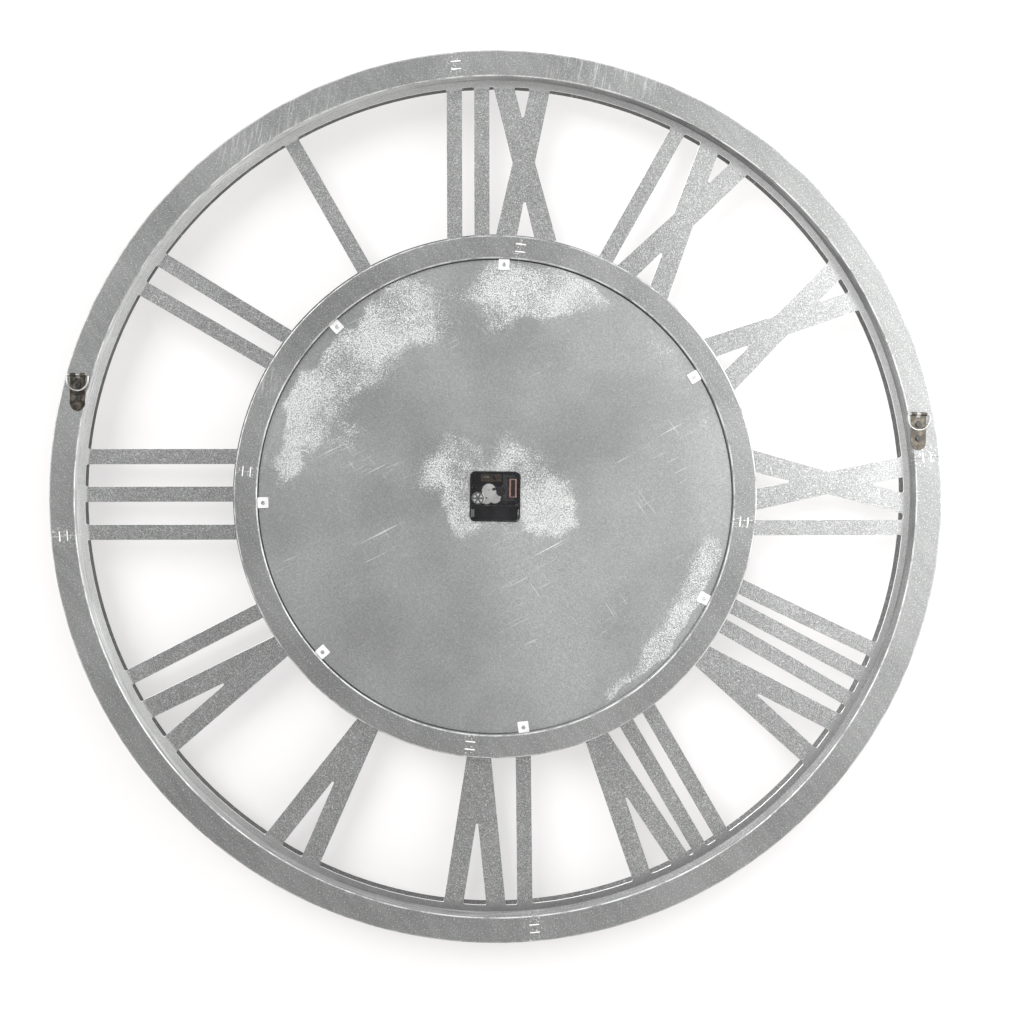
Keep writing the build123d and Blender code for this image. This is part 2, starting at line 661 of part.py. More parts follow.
with BuildPart() as contact_positive:
    with BuildSketch(Plane.YZ.offset(-INSIDE)):
        with Locations((MOVEMENT_Y + 7.6, BAY_MIDDLE)):
            RectangleRounded(10.0, 9.0, 1.0)
    extrude(amount=CONTACT)
    with BuildSketch(Plane.YZ.offset(CONTACT - INSIDE)):
        with Locations((MOVEMENT_Y + 7.6, BAY_MIDDLE)):
            Circle(2.2)
    extrude(amount=0.5)
save(contact_positive.part, "contact_positive")

# Centre fixing through the dial: bush, gasket, washer and nut
GASKET_HALF = 24.0
WASHER_THICKNESS, NUT_THICKNESS = 0.8, 2.5
BUSH_END = DIAL_FRONT_Y - 5.0
HOUR_PIPE, MINUTE_PIPE, ARBOR = 3.0, 2.0, 0.8

with BuildPart() as centre_bush:
    with BuildSketch(behind(WALL + 0.3)):
        Circle(5.5)
    extrude(amount=0.3)
    with BuildSketch(behind(WALL)):
        Circle(BUSH_OUTER)
    extrude(amount=MOVEMENT_Y + WALL - BUSH_END)
    chamfer(centre_bush.edges().group_by(Axis.Y)[0], 0.3)
    with BuildSketch(behind(WALL + 0.3)):
        Circle(HOUR_PIPE + RUN)
    extrude(amount=20.0, mode=Mode.SUBTRACT)
save(centre_bush.part, "centre_bush")

with BuildPart() as dial_gasket:
    with BuildSketch(facing(MOVEMENT_Y)):
        RectangleRounded(2 * GASKET_HALF, 2 * GASKET_HALF, 4.0)
        Circle(BUSH_OUTER + 0.2, mode=Mode.SUBTRACT)
    extrude(amount=GASKET)
save(dial_gasket.part, "dial_gasket")

with BuildPart() as washer:
    with BuildSketch(facing(DIAL_FRONT_Y)):
        Circle(7.5)
        Circle(BUSH_OUTER + 0.15, mode=Mode.SUBTRACT)
    extrude(amount=WASHER_THICKNESS)
save(washer.part, "washer")

with BuildPart() as hex_nut:
    with BuildSketch(facing(DIAL_FRONT_Y - WASHER_THICKNESS)):
        RegularPolygon(6.2, 6)
        Circle(BUSH_OUTER, mode=Mode.SUBTRACT)
    extrude(amount=NUT_THICKNESS)
save(hex_nut.part, "hex_nut")


# --- Gear train: every wheel is cut in mesh with its neighbour at rest --------------------

def meshed_phase(phase, teeth, next_teeth, direction):
    """Angle of a tooth on the next wheel, whose centre lies in the given direction."""
    ahead = (phase - direction) * teeth / next_teeth
    return direction + 180 + 180 / next_teeth - ahead


def gear(depth, thickness, place, teeth, module, phase, fill=0.40, taper=0.5):
    """Add a spur gear to the part being built; fill is tooth width over pitch."""
    pitch_radius = teeth * module / 2
    root = pitch_radius - DEDENDUM * module
    half = fill * pi * module / 2
    tip = pitch_radius + ADDENDUM * module
    with BuildSketch(behind(depth + thickness)) as profile:
        with Locations(place):
            Circle(root)
            with PolarLocations(0, teeth, start_angle=phase):
                Polygon((0.8 * root, -half), (pitch_radius, -half), (tip, -taper * half),
                        (tip, taper * half), (pitch_radius, half), (0.8 * root, half),
                        align=None)
    extrude(profile.sketch, amount=thickness)


def shaft(low, high, place, radius, mode=Mode.ADD):
    """Add or cut a round between two depths, in the part being built."""
    with BuildSketch(behind(high)) as section:
        with Locations(place):
            Circle(radius)
    extrude(section.sketch, amount=high - low, mode=mode)


CENTRE = (0, 0)
PINION_FILL = 0.34
third_phase = meshed_phase(0, CENTRE_TEETH, THIRD_PINION_TEETH, THIRD_ANGLE)
seconds_pinion_phase = meshed_phase(0, THIRD_TEETH, SECONDS_PINION_TEETH, THIRD_ANGLE + 180)
idler_phase = meshed_phase(0, SECONDS_TEETH, IDLER_PINION_TEETH, MOTOR_ANGLE)
rotor_phase = meshed_phase(0, IDLER_TEETH, ROTOR_PINION_TEETH, MOTOR_ANGLE)
day_phase = meshed_phase(0, CANNON_TEETH, DAY_TEETH, DAY_ANGLE)
hour_phase = meshed_phase(0, DAY_PINION_TEETH, HOUR_TEETH, DAY_ANGLE + 180)
knob_phase = meshed_phase(day_phase, DAY_TEETH, KNOB_TEETH, 0)
MINUTE_PIPE_END = MOVEMENT_Y - (DIAL_FRONT_Y - 13.5)
HOUR_PIPE_END = MOVEMENT_Y - (DIAL_FRONT_Y - 8.0)
ARBOR_END = MOVEMENT_Y - (DIAL_FRONT_Y - 13.0)

with BuildPart() as minute_wheel:
    gear(4.8, 0.8, CENTRE, CENTRE_TEETH, CENTRE_MODULE, 0)
    gear(3.1, 1.7, CENTRE, CANNON_TEETH, CANNON_MODULE, 0, PINION_FILL)
    shaft(-MINUTE_PIPE_END, 3.2, CENTRE, MINUTE_PIPE)
    shaft(-MINUTE_PIPE_END, 6.0, CENTRE, ARBOR + RUN, Mode.SUBTRACT)
save(minute_wheel.part, "minute_wheel")

with BuildPart() as hour_wheel:
    gear(1.7, 1.0, CENTRE, HOUR_TEETH, HOUR_MODULE, hour_phase)
    shaft(-HOUR_PIPE_END, 2.0, CENTRE, HOUR_PIPE)
    shaft(-HOUR_PIPE_END, 3.0, CENTRE, MINUTE_PIPE + RUN, Mode.SUBTRACT)
save(hour_wheel.part, "hour_wheel")

with BuildPart() as day_wheel:
    gear(3.2, 1.0, DAY_PLACE, DAY_TEETH, CANNON_MODULE, day_phase)
    gear(1.5, 1.7, DAY_PLACE, DAY_PINION_TEETH, HOUR_MODULE, 0, PINION_FILL)
    shaft(1.0, 5.0, DAY_PLACE, DAY_POST + RUN, Mode.SUBTRACT)
save(day_wheel.part, "day_wheel")

with BuildPart() as third_wheel:
    gear(6.2, 0.8, THIRD_PLACE, THIRD_TEETH, THIRD_MODULE, 0)
    gear(4.7, 1.5, THIRD_PLACE, THIRD_PINION_TEETH, CENTRE_MODULE, third_phase, PINION_FILL)
    shaft(3.4, 8.6, THIRD_PLACE, PIVOT)
save(third_wheel.part, "third_wheel")

with BuildPart() as seconds_wheel:
    gear(8.5, 0.8, CENTRE, SECONDS_TEETH, SECONDS_MODULE, 0)
    gear(6.1, 1.1, CENTRE, SECONDS_PINION_TEETH, THIRD_MODULE, seconds_pinion_phase, PINION_FILL)
    shaft(-ARBOR_END, 11.5, CENTRE, ARBOR)
save(seconds_wheel.part, "seconds_wheel")

with BuildPart() as idler_wheel:
    gear(11.0, 0.8, IDLER_PLACE, IDLER_TEETH, IDLER_MODULE, 0)
    gear(8.4, 1.3, IDLER_PLACE, IDLER_PINION_TEETH, SECONDS_MODULE, idler_phase, PINION_FILL)
    shaft(9.7, 11.0, IDLER_PLACE, 0.7)
    shaft(7.4, 13.2, IDLER_PLACE, PIVOT)
save(idler_wheel.part, "idler_wheel")

with BuildPart() as rotor:
    shaft(8.5, 10.3, ROTOR_PLACE, 2.9)
    gear(10.9, 1.2, ROTOR_PLACE, ROTOR_PINION_TEETH, IDLER_MODULE, rotor_phase, PINION_FILL)
    shaft(10.3, 10.9, ROTOR_PLACE, 0.6)
    shaft(7.4, 13.2, ROTOR_PLACE, PIVOT)
save(rotor.part, "rotor")

KNOB_TOP = MOVEMENT_DEPTH - 0.1
KNOB_THICKNESS = 2.4
with BuildPart() as setting_knob:
    gear(3.2, 1.0, KNOB_PLACE, KNOB_TEETH, CANNON_MODULE, knob_phase, PINION_FILL)
    shaft(1.7, KNOB_TOP - 0.5, KNOB_PLACE, KNOB_SHAFT)
    with BuildSketch(behind(KNOB_TOP)):
        with Locations(KNOB_PLACE):
            Circle(KNOB_RADIUS)
            with PolarLocations(KNOB_RADIUS + 0.3, 24):
                Circle(0.7, mode=Mode.SUBTRACT)
    extrude(amount=KNOB_THICKNESS)
    with BuildSketch(behind(KNOB_TOP)):
        with Locations(KNOB_PLACE):
            Circle(KNOB_RADIUS - 1.6)
            for turn in (0, 60, 120):
                Rectangle(2 * KNOB_RADIUS - 3.0, 1.8, rotation=turn, mode=Mode.SUBTRACT)
            Circle(1.9, mode=Mode.SUBTRACT)
    extrude(amount=1.2, mode=Mode.SUBTRACT)
save(setting_knob.part, "setting_knob")


# --- Hands --------------------------------------------------------------------------------

def hand(front_offset, turn, length, tail, width, hub, bore, name, collar=0.0):
    """Spade hand: tapered blade, leaf and point, with a hub pressed on its pipe."""
    leaf_middle = 0.72 * length
    leaf_half = 0.11 * length
    with BuildPart() as blade:
        with BuildSketch(facing(DIAL_FRONT_Y - front_offset)):
            with Locations(Location((0, 0, 0), (0, 0, -turn))):
                Circle(hub)
                Polygon((-width, -tail), (width, -tail), (0.55 * width, leaf_middle),
                        (-0.55 * width, leaf_middle), align=None)
                with Locations((0, leaf_middle)):
                    Ellipse(2.2 * width, leaf_half)
                Polygon((-0.6 * width, leaf_middle), (0.6 * width, leaf_middle),
                        (0.35, length), (-0.35, length), align=None)
            Circle(bore, mode=Mode.SUBTRACT)
        extrude(amount=HAND_THICKNESS)
        if collar:
            with BuildSketch(facing(DIAL_FRONT_Y - front_offset + collar)):
                Circle(bore + 2.0)
                Circle(bore, mode=Mode.SUBTRACT)
            extrude(amount=collar)
    save(blade.part, name)


hand(6.2, HOUR_ANGLE, HOUR_LENGTH, 30.0, 5.2, 11.0, HOUR_PIPE, "hour_hand", collar=0.8)
hand(10.0, MINUTE_ANGLE, MINUTE_LENGTH, 44.0, 4.4, 9.0, MINUTE_PIPE, "minute_hand", collar=0.8)

with BuildPart() as hand_nut:
    with BuildSketch(facing(DIAL_FRONT_Y - 10.8)):
        Circle(4.4)
    extrude(amount=4.2)
    fillet(hand_nut.faces().sort_by(Axis.Y)[0].edges(), 1.2)
    with BuildSketch(facing(DIAL_FRONT_Y - 10.8)):
        Circle(MINUTE_PIPE)
    extrude(amount=2.8, mode=Mode.SUBTRACT)
save(hand_nut.part, "hand_nut")
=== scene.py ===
"""Looks of a large open-frame wall clock, seen from behind in front of a white wall.

Every CAD node keeps its shape and gets a procedural material. The one added mesh is the
coil's winding, drawn turn by turn in place of the CAD's plain one.
"""
import math

import bmesh
import bpy
from mathutils import Matrix, Vector


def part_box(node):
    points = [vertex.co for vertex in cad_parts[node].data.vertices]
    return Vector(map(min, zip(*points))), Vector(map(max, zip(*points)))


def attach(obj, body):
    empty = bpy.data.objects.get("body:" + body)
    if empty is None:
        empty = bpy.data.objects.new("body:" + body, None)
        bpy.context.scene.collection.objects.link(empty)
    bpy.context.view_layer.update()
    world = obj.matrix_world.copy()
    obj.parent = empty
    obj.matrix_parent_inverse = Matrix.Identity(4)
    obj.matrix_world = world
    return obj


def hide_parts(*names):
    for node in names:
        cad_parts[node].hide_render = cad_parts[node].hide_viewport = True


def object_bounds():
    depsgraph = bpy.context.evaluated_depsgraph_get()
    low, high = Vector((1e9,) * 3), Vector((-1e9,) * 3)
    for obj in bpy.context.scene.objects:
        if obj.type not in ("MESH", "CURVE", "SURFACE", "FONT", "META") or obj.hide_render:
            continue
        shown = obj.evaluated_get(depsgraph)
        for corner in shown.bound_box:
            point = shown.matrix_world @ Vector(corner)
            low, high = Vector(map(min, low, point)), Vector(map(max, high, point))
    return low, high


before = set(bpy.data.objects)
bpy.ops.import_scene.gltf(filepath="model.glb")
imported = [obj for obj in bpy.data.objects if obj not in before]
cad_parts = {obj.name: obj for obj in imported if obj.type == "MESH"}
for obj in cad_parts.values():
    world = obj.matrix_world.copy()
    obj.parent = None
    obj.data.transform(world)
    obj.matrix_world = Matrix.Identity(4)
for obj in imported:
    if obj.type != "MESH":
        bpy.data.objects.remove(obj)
CAD_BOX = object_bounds()

MM = 0.001
LOW, HIGH = CAD_BOX


def node_box(name):
    low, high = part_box(name)
    return Vector(low), Vector(high)


def nodes_like(*beginnings):
    return [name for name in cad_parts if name.startswith(beginnings)]


def axis_distances(beginning):
    """Distances from the hands' axis of all vertices of the nodes named like this."""
    return [math.hypot(vertex.co.x, vertex.co.z) for name in nodes_like(beginning)
            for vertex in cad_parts[name].data.vertices]


DIAL_LOW, DIAL_HIGH = node_box("dial_board")
DIAL_RADIUS = (DIAL_HIGH.x - DIAL_LOW.x) / 2
RIM_RADIUS = HIGH.x
REAR_Y = node_box("rear_hub_segment_1")[1].y
SHEET_Y = node_box("numeral_sheet")[1].y


# --- Shader graphs --------------------------------------------------------------------------

# A patch fades out at this share of its half width, and is this deep in metres
PATCH_EDGE = 1.15
PATCH_DEPTH = 1e3


class Graph:
    """One material's nodes, written as calls that return sockets."""

    def __init__(self, name, metallic=0.0, **constants):
        self.material = bpy.data.materials.new(name)
        self.material.use_nodes = True
        self.tree = self.material.node_tree
        self.shader = self.tree.nodes["Principled BSDF"]
        self.set("Metallic", metallic)
        for key, value in constants.items():
            self.set(key.replace("_", " ").title().replace("Ior", "IOR"), value)
        self.place = self.add("TexCoord").outputs["Object"]
        self.facing = self.add("NewGeometry").outputs["Normal"]

    def add(self, kind):
        return self.tree.nodes.new("ShaderNode" + kind)

    def link(self, value, socket):
        if isinstance(value, bpy.types.NodeSocket):
            self.tree.links.new(value, socket)
        else:
            socket.default_value = value

    def set(self, name, value):
        if name == "Base Color" and isinstance(value, tuple) and len(value) == 3:
            value = (*value, 1.0)
        self.link(value, self.shader.inputs[name])

    def math(self, operation, first, second=0.0, third=0.0):
        node = self.add("Math")
        node.operation = operation
        for value, socket in zip((first, second, third), node.inputs):
            self.link(value, socket)
        return node.outputs[0]

    def vector(self, operation, first, second=(0.0, 0.0, 0.0)):
        node = self.add("VectorMath")
        node.operation = operation
        self.link(first, node.inputs[0])
        self.link(second, node.inputs[1])
        return node.outputs["Value" if operation in ("LENGTH", "DOT_PRODUCT") else "Vector"]

    def mapping(self, source=None, location=(0, 0, 0), turn=(0, 0, 0), scale=(1, 1, 1)):
        """The place as seen from a texture that is moved, turned in degrees and stretched."""
        node = self.add("Mapping")
        node.vector_type = "TEXTURE"
        self.link(source or self.place, node.inputs["Vector"])
        node.inputs["Location"].default_value = location
        node.inputs["Rotation"].default_value = [math.radians(t) for t in turn]
        node.inputs["Scale"].default_value = scale
        return node.outputs[0]

    def noise(self, scale, detail=2.0, roughness=0.5, stretch=(1, 1, 1), turn=(0, 0, 0)):
        """Clouds from 0 to 1; stretch makes them longer along an axis, turn tilts them."""
        node = self.add("TexNoise")
        node.inputs["Scale"].default_value = scale
        node.inputs["Detail"].default_value = detail
        node.inputs["Roughness"].default_value = roughness
        place = self.place
        if tuple(stretch) != (1, 1, 1):
            place = self.mapping(turn=turn, scale=[1 / s for s in stretch])
        self.link(place, node.inputs["Vector"])
        return node.outputs["Fac"]

    def cells(self, scale):
        """A random value for each cell of a fine, irregular net."""
        node = self.add("TexVoronoi")
        node.inputs["Scale"].default_value = scale
        self.link(self.place, node.inputs["Vector"])
        return self.axis(node.outputs["Color"], "X")

    def ramp(self, value, low, high, to_low=0.0, to_high=1.0):
        """Smooth step from to_low, at low, to to_high, at high."""
        node = self.add("MapRange")
        node.interpolation_type = "SMOOTHSTEP"
        for key, given in (("Value", value), ("From Min", low), ("From Max", high),
                           ("To Min", to_low), ("To Max", to_high)):
            self.link(given, node.inputs[key])
        return node.outputs[0]

    def mix(self, share, first, second):
        """Colour between first and second."""
        node = self.add("Mix")
        node.data_type = "RGBA"
        node.clamp_factor = True
        self.link(share, node.inputs["Factor"])
        for value, key in ((first, 6), (second, 7)):
            self.link((*value, 1.0) if isinstance(value, tuple) else value, node.inputs[key])
        return node.outputs[2]

    def brighten(self, colour, amount):
        """Colour times a grey value."""
        node = self.add("VectorMath")
        node.operation = "SCALE"
        self.link(colour, node.inputs[0])
        self.link(amount, node.inputs["Scale"])
        return node.outputs["Vector"]

    def axis(self, source, letter):
        node = self.add("SeparateXYZ")
        self.link(source, node.inputs[0])
        return node.outputs["XYZ".index(letter)]

    def radius(self):
        """Distance from the hands' axis."""
        return self.vector("LENGTH", self.vector("MULTIPLY", self.place, (1, 0, 1)))

    def angle(self):
        """Angle about the hands' axis in degrees, from +X towards +Z."""
        turn = self.math("ARCTAN2", self.axis(self.place, "Z"), self.axis(self.place, "X"))
        return self.math("MULTIPLY", turn, math.degrees(1))

    def angle_from(self, turn, half_period):
        """How far the angle is from turn, where the pattern repeats every two half periods."""
        off = self.math("SUBTRACT", self.angle(), turn)
        return self.math("ABSOLUTE", self.math("WRAP", off, half_period, -half_period))

    def side_wall(self):
        """1 on faces that look along the sheet or board, 0 on its two broad faces."""
        flat = self.math("ABSOLUTE", self.axis(self.facing, "Y"))
        return self.ramp(flat, 0.3, 0.8, 1.0, 0.0)

    def rearward(self):
        """1 on faces that look to the rear, 0 on all others."""
        return self.ramp(self.axis(self.facing, "Y"), 0.4, 0.6)

    def painted_catch_light(self):
        """Painted light that the ledge and the inner walls throw back: most on the side of +X."""
        towards = self.vector("DOT_PRODUCT", self.place, (0.94, 0.0, 0.34))
        return self.ramp(towards, -0.05, 0.40, 0.42, 1.0)

    def bump(self, height, distance, strength):
        node = self.add("Bump")
        node.inputs["Distance"].default_value = distance
        node.inputs["Strength"].default_value = strength
        self.link(height, node.inputs["Height"])
        self.link(node.outputs[0], self.shader.inputs["Normal"])

    def warped(self, scale, reach):
        """The place, pushed about by a cloud: reach is how far, in metres."""
        node = self.add("TexNoise")
        node.inputs["Scale"].default_value = scale
        node.inputs["Detail"].default_value = 3.0
        self.link(self.place, node.inputs["Vector"])
        push = self.vector("SUBTRACT", node.outputs["Color"], (0.5, 0.5, 0.5))
        push = self.vector("MULTIPLY", push, (2 * reach,) * 3)
        return self.vector("ADD", self.place, push)

    def blob(self, x, z, half_x, half_z, turn=0.0, core=0.45, source=None):
        """Soft patch in the plane of the dial: 1 inside, 0 outside; sizes in metres."""
        local = self.mapping(source, location=(x, 0, z), turn=(0, -turn, 0),
                             scale=(half_x, PATCH_DEPTH, half_z))
        return self.ramp(self.vector("LENGTH", local), core, PATCH_EDGE, 1.0, 0.0)

    def dial_blob(self, patch, core, source):
        """A blob from (across, up, half width, half height, turn), in shares of the dial."""
        *sizes, turn = patch
        return self.blob(*(size * DIAL_RADIUS for size in sizes), turn, core, source)


def assign(material, *names):
    for name in names:
        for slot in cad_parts[name].material_slots:
            slot.material = material


# --- The rings of painted boards ------------------------------------------------------------

SILVER = (0.160, 0.163, 0.161)
BRIGHT = (0.60, 0.605, 0.60)
FILLER = (0.66, 0.66, 0.65)
BRUSHED = (0.46, 0.465, 0.46)
BARE_WALL = (0.74, 0.745, 0.74)
# painted shade: on the inner walls below what they border, on the front board's overhang and on
# the floor of the gap
WALL_SHADE = (0.030, 0.030, 0.030)
OVERHANG_SHADE = (0.05, 0.05, 0.05)
GAP_DARK = (0.006, 0.006, 0.006)

# Turn of the seams between the rear boards, in degrees from +X; they repeat every quarter
RIM_SEAM = -6.0
HUB_SEAM = 5.0
EIGHTH_TURN = 45.0

# Brushed stretches: x, z, half width, half height
RIM_BRUSHED = ((0.265, 0.425, 0.105, 0.075), (-0.12, 0.475, 0.09, 0.03))
HUB_BRUSHED = ((0.262, 0.125, 0.03, 0.02),)

# wear and a painted highlight along the boards' edges, as shares from 0 to 1
INNER_WEAR_AND_HIGHLIGHT = 0.85
RIM_OUTER_WEAR_AND_HIGHLIGHT = 0.5
HUB_OUTER_WEAR_AND_HIGHLIGHT = 0.8


def inner_wall(g, lines, bordered):
    """Bare streaks down to the depth of what the wall borders, with painted light and painted
    shade on them, and painted shade below that depth.
    """
    streaks = g.brighten(BARE_WALL, g.ramp(lines, 0.38, 0.64, 0.40, 1.15))
    # painted light thrown back on the streaks, most on the side of +X
    streaks = g.brighten(streaks, g.painted_catch_light())
    # painted shade: walls that face +X and +Z are darkened to half
    shaded = g.vector("DOT_PRODUCT", g.facing, (0.707, 0.0, 0.707))
    streaks = g.brighten(streaks, g.ramp(shaded, 0.5, 0.95, 1.0, 0.5))
    # painted shade on the wall below the depth of the piece it borders
    above = g.ramp(g.axis(g.place, "Y"), bordered - 0.8 * MM, bordered + 0.8 * MM)
    return g.mix(above, WALL_SHADE, streaks)


def silver_paint(name, inner, outer, bordered, seam_turn, brushed, outer_wear_and_highlight):
    """Silver paint on board: mottled, brushed in places, with wear and a painted highlight along
    its edges, and painted shade on the front board's overhang and in the gap.

    inner and outer are the ring's radii and bordered is the depth, along Y, of the piece that
    its inner wall stands on. brushed lists stretches, and outer_wear_and_highlight is a share
    from 0 to 1.
    """
    g = Graph(name, metallic=0.72)
    cloud = g.noise(7.0, 3.0)
    grain = g.noise(950.0, 2.0)
    drag = g.noise(16.0, 3.0, stretch=(9, 1, 1), turn=(0, 38, 0))
    tone = g.math("ADD", g.ramp(cloud, 0.25, 0.75, 0.90, 1.10),
                  g.ramp(grain, 0.2, 0.8, -0.24, 0.24))
    tone = g.math("ADD", tone, g.ramp(drag, 0.35, 0.7, -0.05, 0.07))
    paint = g.brighten(SILVER, tone)

    walls = g.side_wall()
    inward = g.ramp(g.vector("DOT_PRODUCT", g.facing, g.place), -0.12, -0.04, 1.0, 0.0)
    lines = g.noise(30.0, 4.0, 0.65, stretch=(0.5, 40, 0.5))
    paint = g.mix(g.math("MULTIPLY", walls, inward), paint, inner_wall(g, lines, bordered))

    # wear and a painted highlight along both edges of the flat faces, broken up by a cloud
    radius = g.radius()
    broken = g.noise(45.0, 4.0, 0.7)
    flat = g.math("SUBTRACT", 1.0, walls)
    for edge, way, strength in ((inner, 1, INNER_WEAR_AND_HIGHLIGHT), (outer, -1, outer_wear_and_highlight)):
        depth = g.math("MULTIPLY", g.math("SUBTRACT", radius, edge), way)
        near = g.math("MULTIPLY", g.ramp(depth, -1.2 * MM, -0.4 * MM),
                      g.ramp(depth, 0.4 * MM, 2.2 * MM, strength, 0.0))
        near = g.math("MULTIPLY", flat, near)
        worn_and_lit = g.math("MULTIPLY", near, g.ramp(broken, 0.36, 0.60, 0.15, 1.0))
        paint = g.mix(worn_and_lit, paint, BRIGHT)

    # bright specks everywhere, and pale filler beside the seams
    patchy = g.noise(600.0, 2.0, 0.6)
    paint = g.mix(g.ramp(patchy, 0.54, 0.72, 0.0, 0.40), paint, BRIGHT)
    beside_seam = g.ramp(g.angle_from(seam_turn, EIGHTH_TURN), 0.3, 2.2, 0.55, 0.0)
    flecks = g.math("MULTIPLY", beside_seam, g.ramp(g.noise(420.0, 2.0), 0.57, 0.66))
    paint = g.mix(flecks, paint, FILLER)

    strokes = g.noise(1.0, 4.0, 0.7, stretch=(420, 40, 22), turn=(0, -9, 0))
    stroked = g.ramp(strokes, 0.50, 0.72, 0.0, 0.6)
    for stretch in brushed:
        paint = g.mix(g.math("MULTIPLY", g.blob(*stretch), stroked), paint, BRUSHED)

    # painted shade on the front board's overhang past the rear one
    rearward = g.rearward()
    beyond = g.ramp(radius, outer + 0.8 * MM, outer + 1.4 * MM, 0.0, 0.7)
    paint = g.mix(g.math("MULTIPLY", rearward, beyond), paint, OVERHANG_SHADE)

    # the floor of the gap between the boards and the dial lies in the dark
    within = g.ramp(radius, inner - 0.6 * MM, inner, 1.0, 0.0)
    floor = g.math("MULTIPLY", within, rearward)
    paint = g.mix(g.math("MULTIPLY", floor, 0.95), paint, GAP_DARK)
    g.set("Base Color", paint)
    g.set("Roughness", g.ramp(cloud, 0.3, 0.7, 0.42, 0.52))
    g.bump(g.math("ADD", g.math("MULTIPLY", grain, 0.6), lines), 0.12 * MM, 0.6)
    return g.material


# --- Bare metal: the numerals and the dial --------------------------------------------------

SHEET_ZINC = (0.200, 0.203, 0.201)
SHEET_RUBBED = (0.46, 0.465, 0.46)
# the cut edges' colour: pale bare steel with a painted highlight
SHEET_EDGE_BARE_AND_LIT = (0.80, 0.80, 0.79)
# the ledge's colour: partly bare metal, partly painted light
LEDGE_BARE_AND_LIT = (0.50, 0.505, 0.50)
# The sheet's rim is a plain bright ledge, partly bare metal and partly painted light, from this
# radius outwards
LEDGE_START = 0.4600
LEDGE_FADE = 0.003

DIAL_ZINC = (0.205, 0.210, 0.208)
# painted shade for the dial board's side wall
DIAL_EDGE_SHADE = (0.02, 0.02, 0.02)
BLOOM_WHITE = (0.50, 0.507, 0.502)
SCRATCH = (0.62, 0.63, 0.62)
FRONT_ZINC = (0.42, 0.425, 0.42)
FRONT_AGED = (0.60, 0.60, 0.585)

# White bloom on the back of the dial, as patches given in shares of the dial's radius:
# (across, up, half width, half height, turn), with +X across
BLOOM = (
    (0.90, 0.07, 0.11, 0.15, -20),
    (0.82, 0.29, 0.20, 0.19, 35),
    (0.70, 0.46, 0.27, 0.22, 40),
    (0.55, 0.62, 0.30, 0.22, 35),
    (0.36, 0.79, 0.26, 0.17, 15),
    (-0.03, 0.88, 0.27, 0.21, 0),
    (-0.28, 0.84, 0.26, 0.13, -20),
    (0.22, 0.12, 0.18, 0.22, 20),
    (-0.12, 0.07, 0.32, 0.24, 0),
    (-0.15, -0.04, 0.22, 0.15, 15),
    (0.13, -0.06, 0.11, 0.11, 0),
)
# Bloom along the dial's edge: (middle angle, half angle, inner share of the radius, strength)
EDGE_BLOOM = (
    (132.0, 34.0, 0.885, 0.60),
    (208.0, 20.0, 0.87, 1.0),
    (231.0, 11.0, 0.93, 1.0),
    (24.0, 16.0, 0.90, 0.8),
)
# Bare lobes left in the bloom beside the ring, given like the patches
BARE_LOBES = (
    (0.755, 0.615, 0.135, 0.042, -50),
    (0.625, 0.755, 0.050, 0.062, -35),
    (0.93, 0.26, 0.045, 0.12, 12),
)
# Fine scratches on the back of the dial: (turn, how tight they lie, how rare they are)
SCRATCHES = ((28, 2.2, 0.66), (24, 3.7, 0.68), (-55, 2.9, 0.68))


def galvanised(g, base, sparkle):
    """Fine spangle: a tight grain with single bright and dark crystals."""
    grain = g.noise(900.0, 2.0, 0.6)
    tone = g.math("ADD", g.ramp(grain, 0.25, 0.75, 1.0 - sparkle, 1.0 + sparkle),
                  g.ramp(g.cells(850.0), 0.75, 1.0, 0.0, 1.2 * sparkle))
    cloud = g.noise(8.0, 3.0, 0.55)
    tone = g.math("MULTIPLY", tone, g.ramp(cloud, 0.25, 0.75, 0.92, 1.08))
    return g.brighten(base, tone), grain, cloud


def numeral_metal():
    """The cut sheet: sparkling faces, a bright ledge at its rim that is partly bare metal and
    partly painted light, and pale cut edges with a painted highlight.
    """
    g = Graph("galvanised_sheet", metallic=0.85)
    colour, grain, _ = galvanised(g, SHEET_ZINC, 0.50)
    rubbed = g.ramp(g.noise(22.0, 4.0, 0.6), 0.58, 0.78, 0.0, 0.16)
    colour = g.mix(rubbed, colour, SHEET_RUBBED)
    # the ledge: paler bare metal with painted light thrown back on it, most on the side of +X
    ledge = g.ramp(g.radius(), LEDGE_START, LEDGE_START + LEDGE_FADE, 0.0, 0.8)
    lit_shelf = g.brighten(LEDGE_BARE_AND_LIT, g.ramp(grain, 0.3, 0.7, 0.85, 1.1))
    colour = g.mix(ledge, colour, g.brighten(lit_shelf, g.painted_catch_light()))
    # pale cut edges: bare steel with a painted highlight
    colour = g.mix(g.math("MULTIPLY", g.side_wall(), 0.85), colour, SHEET_EDGE_BARE_AND_LIT)
    g.set("Base Color", colour)
    g.set("Roughness", g.ramp(grain, 0.3, 0.7, 0.34, 0.50))
    g.bump(grain, 0.25 * MM, 0.7)
    return g.material


def bloom_mask(g):
    """Where the white bloom lies, before it is broken into speckles."""
    drift = g.warped(14.0, 0.045)
    total = 0.0
    for patch in BLOOM:
        total = g.math("ADD", total, g.dial_blob(patch, 0.25, drift))
    share = g.math("DIVIDE", g.radius(), DIAL_RADIUS)
    scallop = g.math("MULTIPLY", g.noise(30.0, 1.0), 0.09)
    clear = g.ramp(g.math("ADD", share, scallop), 1.015, 1.035, 1.0, 0.1)
    for middle, half, inner, strength in EDGE_BLOOM:
        around = g.ramp(g.angle_from(middle, 180.0), 0.7 * half, 1.2 * half, strength, 0.0)
        start = g.ramp(share, inner - 0.06, inner + 0.05)
        edge = g.math("MULTIPLY", around, g.math("MULTIPLY", start, clear))
        total = g.math("ADD", total, edge)
    return g.math("MINIMUM", total, 1.0)


